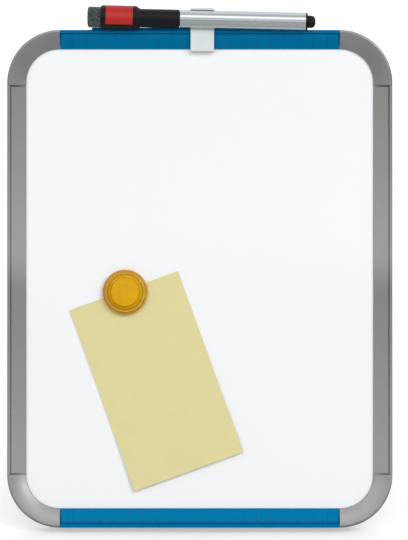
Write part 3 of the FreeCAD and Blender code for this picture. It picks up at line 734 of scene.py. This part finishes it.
class EASEL_OT_cap(bpy.types.Operator):
    """Build the eraser's felt and finish the bare plate on the cap"""
    bl_idname = "easel.cap"
    bl_label = "Cap and Eraser"

    def execute(self, context):
        colors = context.scene.easel_colors
        label = moulded_finish(
            "label_red", colors.label, spot=0.0006, depth=0.000006, rough=0.3,
            constants={"Specular IOR Level": 0.3}, turn=marker_turn, wear_and_highlight=1.25)
        finish_nodes(label, "cap_label_plate")
        self.build_felt(context, felt_finish("eraser_felt", colors.felt))
        return {"FINISHED"}

    def build_felt(self, context, material):
        """Uneven pad on the cap's axis, with loose fibres, inside the solid's outline."""
        sizes = context.scene.easel_felt
        near, far = reach("eraser_felt", cap_axis)
        low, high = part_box("eraser_felt")
        middle = (low + high) / 2
        radius = (reach("eraser_felt", front)[1] - reach("eraser_felt", front)[0]) / 2
        radius -= sizes.fuzz
        half = (far - near) / 2
        end = half - sizes.fuzz
        form = turned_form([(0, -half), (radius, -half), (radius, end), (0, end)])
        round_edges(form, sizes.edge, least_angle=math.radians(60), segments=4)
        across = [edge for edge in form.edges if edge.calc_length() > radius / 5]
        bmesh.ops.subdivide_edges(form, edges=across, cuts=14, use_grid_fill=True)
        fade, finer, layers = 1.0, 2.0, 3
        for vertex in form.verts:
            vertex.co += vertex.normal * sizes.fuzz * noise.fractal(
                vertex.co / sizes.spot, fade, finer, layers)
        self.add_fibres(form, sizes)
        shade_smooth(form)
        form.transform(axis_place(middle, cap_axis))
        pad = add_piece(
            context, "felt_pad", form, material, "cap", "eraser_felt", "eraser_felt")

    def add_fibres(self, form, sizes):
        """Thin cones that stand off the pad at random, with their feet sunk in it."""
        outwards, shortest, sunk = 0.5, 0.4, 0.1
        draw = random.Random(sizes.seed)
        # The faces come in an order that varies between runs, so the fibres' places do too
        spots = [(face.calc_center_median(), face.normal.copy()) for face in form.faces]
        for _ in range(sizes.fibres):
            point, normal = draw.choice(spots)
            lean = Vector([draw.uniform(-1, 1) for _ in range(3)])
            direction = (normal * outwards + lean).normalized()
            length = sizes.fibre * draw.uniform(shortest, 1.0)
            if direction.dot(normal) < 0:
                direction -= normal * 2 * direction.dot(normal)
            bmesh.ops.create_cone(
                form, cap_ends=True, segments=3, radius1=sizes.fibre_width / 2, radius2=0.0,
                depth=length,
                matrix=axis_place(point + direction * length * (0.5 - sunk), direction))


class EASEL_OT_magnet(bpy.types.Operator):
    """Build the magnet's solid core and clear rim, and finish its disc"""
    bl_idname = "easel.magnet"
    bl_label = "Magnet"

    def execute(self, context):
        colors = context.scene.easel_colors
        sizes = context.scene.easel_magnet
        solid_amber = amber_finish(
            "magnet_amber", colors.amber, spot=0.004, constants={"Specular IOR Level": 0.15})
        self.add_ring(
            context, "magnet_core", self.core_profile(sizes), solid_amber, "magnet_cover")
        clear_amber = amber_finish(
            "magnet_amber_clear", colors.amber_rim, spot=0.003,
            constants={"Transmission Weight": 0.35, "IOR": 1.49})
        self.add_ring(context, "magnet_rim", self.rim_profile(sizes), clear_amber)
        ferrite = moulded_finish(
            "magnet_ferrite", colors.ferrite, spot=0.0003, depth=0.00002, rough=0.6,
            constants={"Metallic": 0.3})
        finish_nodes(ferrite, "magnet_disc")
        return {"FINISHED"}

    def core_profile(self, sizes):
        """Button with its ring and slope, over the pocket of the disc."""
        low, high = reach("magnet_disc", up)
        wall = (high - low) / 2 + sizes.play
        roof = reach("magnet_disc", front)[1] - magnet_seat.dot(front) + sizes.play
        slope = sizes.ridge_radius - sizes.top_radius
        return [
            (0, roof), (wall, roof), (wall, 0), (sizes.core_radius, 0),
            (sizes.core_radius, sizes.step_height - sizes.gutter),
            (sizes.ridge_radius, sizes.ridge_height),
            (sizes.ridge_radius - slope / 2, sizes.ridge_height),
            (sizes.top_radius + slope / 4, sizes.ridge_height - sizes.gutter),
            (sizes.top_radius, sizes.height), (0, sizes.height)]

    def rim_profile(self, sizes):
        """Two steps round the core, with a groove between them."""
        gap = sizes.core_radius + sizes.play
        lip = sizes.radius - sizes.rim_width
        return [
            (gap, 0), (sizes.radius, 0), (sizes.radius, sizes.rim_height),
            (lip, sizes.rim_height), (sizes.step_radius, sizes.rim_height - sizes.gutter),
            (sizes.step_radius, sizes.step_height), (gap, sizes.step_height)]

    def add_ring(self, context, name, profile, material, *replaced):
        """Turn a profile, round its edges and seat it on the board."""
        form = turned_form(profile)
        round_edges(form, context.scene.easel_magnet.edge)
        shade_smooth(form)
        form.transform(axis_place(magnet_seat, front))
        add_piece(context, name, form, material, "magnet", "magnet_amber", *replaced)


class EASEL_OT_note(bpy.types.Operator):
    """Build the curled paper note under the magnet"""
    bl_idname = "easel.note"
    bl_label = "Note"

    def execute(self, context):
        sizes = context.scene.easel_note
        form = bmesh.new()
        bmesh.ops.create_grid(form, x_segments=26, y_segments=44, size=0.5)
        bmesh.ops.rotate(form, verts=form.verts, matrix=Matrix.Rotation(math.pi / 2, 3, "X"))
        bmesh.ops.scale(form, verts=form.verts, vec=(sizes.width, 1, sizes.length))
        flat_end = sizes.curl - sizes.length / 2
        for vertex in form.verts:
            share = max(0.0, flat_end - vertex.co.z) / sizes.curl
            side = max(0.0, -vertex.co.x / sizes.width)
            vertex.co.y = -sizes.lift * share ** 2 - sizes.side_lift * side ** 2 * share
        bmesh.ops.rotate(form, verts=form.verts, matrix=Matrix.Rotation(-sizes.turn, 3, "Y"))
        bmesh.ops.solidify(form, geom=form.faces[:], thickness=-sizes.thickness)
        bmesh.ops.recalc_face_normals(form, faces=form.faces)
        shade_smooth(form)
        seat = magnet_seat + right * sizes.across - up * sizes.drop
        form.transform(Matrix.Translation(seat) @ board_turn.to_4x4())
        note = add_piece(
            context, "note_sheet", form, paper_finish(context.scene.easel_colors), "note",
            "note_yellow", "paper_note")
        return {"FINISHED"}


class EASEL_OT_stage(bpy.types.Operator):
    """Add the floor, the light and the camera"""
    bl_idname = "easel.stage"
    bl_label = "Stage"

    def execute(self, context):
        settings = context.scene.easel_stage
        self.add_floor(context, settings)
        self.light_air(context, settings)
        for name, (around, lift, distance, width, height, level, mirrored) in SOFTBOXES.items():
            holder = self.add_softbox(context, name, width, height, getattr(settings, level))
            holder.visible_glossy = mirrored
            self.aim_softbox(holder, settings, math.radians(around), math.radians(lift),
                             distance)
        self.add_camera(context, settings)
        context.scene.view_settings.view_transform = "Standard"
        return {"FINISHED"}

    def seen_share(self, tree, *rays):
        """One for camera rays and rays of the kinds named, and nought for the others."""
        path = add_node(tree, "ShaderNodeLightPath", {}, {})
        seen = path.outputs["Is Camera Ray"]
        for ray in rays:
            seen = add_node(tree, "ShaderNodeMath", {"operation": "MAXIMUM"}, {
                0: seen, 1: path.outputs[ray]}).outputs["Value"]
        return seen

    def floor_finish(self, context, settings):
        """Pale matt floor that glows in view, less so round the board's foot, as a painted
        shadow there.
        """
        material, tree, shader = start_finish("pale_floor", {
            "Roughness": 0.9, "Specular IOR Level": 0.0, "Emission Color": (1, 1, 1, 1)})
        level = Matrix.Identity(3)
        cloud = grain(tree, (0.4, 0.4, 0.4), turn=level)
        color = context.scene.easel_colors.floor
        tree.links.new(two_tone(tree, cloud, toned(color, 0.995), toned(color, 1.0)),
                       shader.inputs["Base Color"])
        # Lower glow round the board's foot is a painted shadow where the board stands
        here = placed(tree, (settings.foot_shadow_width, settings.foot_shadow_depth, 1), level,
                      (0, -settings.foot_shadow_place, 0))
        away = add_node(tree, "ShaderNodeVectorMath", {"operation": "LENGTH"}, {0: here})
        glow = add_node(tree, "ShaderNodeMath", {"operation": "MULTIPLY"}, {
            0: self.seen_share(tree, "Is Transmission Ray"),
            1: between(tree, away.outputs["Value"], settings.floor_glow * settings.foot_shadow_glow,
                       settings.floor_glow, start=0.0, stop=1.0)})
        tree.links.new(glow.outputs["Value"], shader.inputs["Emission Strength"])
        return material

    def add_floor(self, context, settings):
        """Plain square under the easel."""
        form = bmesh.new()
        bmesh.ops.create_grid(form, x_segments=1, y_segments=1, size=settings.floor_size / 2)
        mesh = bpy.data.meshes.new("floor")
        form.to_mesh(mesh)
        form.free()
        mesh.materials.append(self.floor_finish(context, settings))
        floor = bpy.data.objects.new("floor", mesh)
        context.collection.objects.link(floor)

    def light_air(self, context, settings):
        """Even light from all round, white in view and toned in reflections."""
        world = bpy.data.worlds.new("studio_air")
        world.use_nodes = True
        tree = world.node_tree
        background = next(node for node in tree.nodes if node.type == "BACKGROUND")
        background.inputs["Color"].default_value = (1, 1, 1, 1)
        tone = add_node(tree, "ShaderNodeMix", {}, {
            "Factor": self.seen_share(tree), "A": self.room_tone(tree, settings.room),
            "B": 1.0})
        strength = add_node(tree, "ShaderNodeMix", {}, {
            "Factor": self.seen_share(tree, "Is Glossy Ray", "Is Transmission Ray"),
            "A": settings.air, "B": tone.outputs["Result"]})
        tree.links.new(strength.outputs["Result"], background.inputs["Strength"])
        context.scene.world = world

    def room_tone(self, tree, room):
        """Brightness of the room by a direction's height, from in front to behind."""
        way = add_node(tree, "ShaderNodeTexCoord", {}, {}).outputs["Generated"]
        parts = add_node(tree, "ShaderNodeSeparateXYZ", {}, {"Vector": way})
        ahead = add_node(tree, "ShaderNodeMath", {"operation": "MULTIPLY"}, {
            0: parts.outputs["Y"], 1: -1.0})
        height = add_node(tree, "ShaderNodeMath", {"operation": "ARCTAN2"}, {
            0: parts.outputs["Z"], 1: ahead.outputs["Value"]}).outputs["Value"]
        share = between(tree, height, 0.0, 1.0, start=0.0, stop=math.pi)
        tones = add_node(tree, "ShaderNodeValToRGB", {}, {"Fac": share})
        stops = tones.color_ramp.elements
        stops.remove(stops[1])
        brightest = max(level for _, level in ROOM_TONES)
        for degrees, level in ROOM_TONES:
            stop = stops.new(degrees / 180) if degrees else stops[0]
            stop.color = (level / brightest,) * 3 + (1.0,)
        return add_node(tree, "ShaderNodeMath", {"operation": "MULTIPLY"}, {
            0: tones.outputs["Color"], 1: brightest * room}).outputs["Value"]

    def add_softbox(self, context, name, width, height, radiance):
        """Flat lamp that the camera doesn't see."""
        lamp = bpy.data.lights.new(name, "AREA")
        lamp.shape = "RECTANGLE"
        lamp.size = width
        lamp.size_y = height
        lamp.energy = radiance * math.pi * width * height
        holder = bpy.data.objects.new(name, lamp)
        holder.visible_camera = False
        context.collection.objects.link(holder)
        return holder

    def aim_softbox(self, holder, settings, around, lift, distance):
        """Place a lamp by its turn round the board and its height, facing the board."""
        flat = math.cos(lift)
        towards = Vector((math.sin(around) * flat, -math.cos(around) * flat, math.sin(lift)))
        target = board_place(0, 0, settings.aim_height)
        holder.matrix_world = axis_place(target + towards * distance, towards)

    def add_camera(self, context, settings):
        """Camera square to the board, with the view's height as its frame."""
        camera = bpy.data.cameras.new("easel_camera")
        camera.lens = camera.sensor_width * settings.distance / settings.framed_height
        camera.clip_end = settings.clip_end
        holder = bpy.data.objects.new("easel_camera", camera)
        context.collection.objects.link(holder)
        aim = board_place(settings.aim_across, 0, settings.aim_height)
        turn = Matrix((right, up, front)).transposed().to_4x4()
        holder.matrix_world = Matrix.Translation(aim + front * settings.distance) @ turn
        context.scene.camera = holder


class EASEL_PT_sidebar(bpy.types.Panel):
    """List the easel's operators and sizes"""
    bl_idname = "EASEL_PT_sidebar"
    bl_label = "Whiteboard Easel"
    bl_space_type = "VIEW_3D"
    bl_region_type = "UI"
    bl_category = "Easel"

    def draw(self, context):
        """A button for each operator, then a box for each group of properties."""
        for operator in OPERATORS:
            self.layout.operator(operator.bl_idname)
        for name, group in GROUPS.items():
            box = self.layout.box()
            box.label(text=group.__doc__)
            for key in group.__annotations__:
                box.prop(getattr(context.scene, name), key)


GROUPS = {
    "easel_colors": EaselColors,
    "easel_note": NoteSizes,
    "easel_felt": FeltSizes,
    "easel_magnet": MagnetSizes,
    "easel_screws": ScrewSizes,
    "easel_stage": StageSettings,
}
OPERATORS = (
    EASEL_OT_writing_panel, EASEL_OT_rails, EASEL_OT_corners, EASEL_OT_leg,
    EASEL_OT_fasteners, EASEL_OT_clip, EASEL_OT_marker, EASEL_OT_cap, EASEL_OT_magnet,
    EASEL_OT_note, EASEL_OT_stage,
)
CLASSES = (*GROUPS.values(), *OPERATORS, EASEL_PT_sidebar)


def register():
    """Add the classes and the easel's properties."""
    for part in CLASSES:
        bpy.utils.register_class(part)
    for name, group in GROUPS.items():
        setattr(bpy.types.Scene, name, bpy.props.PointerProperty(type=group))


def unregister():
    """Take the easel's properties and the classes away."""
    for name in GROUPS:
        delattr(bpy.types.Scene, name)
    for part in reversed(CLASSES):
        bpy.utils.unregister_class(part)


def main():
    """Build every piece."""
    register()
    bpy.ops.easel.writing_panel()
    bpy.ops.easel.rails()
    bpy.ops.easel.corners()
    bpy.ops.easel.leg()
    bpy.ops.easel.fasteners()
    bpy.ops.easel.clip()
    bpy.ops.easel.marker()
    bpy.ops.easel.cap()
    bpy.ops.easel.magnet()
    bpy.ops.easel.note()
    bpy.ops.easel.stage()


if __name__ == "__main__":
    main()
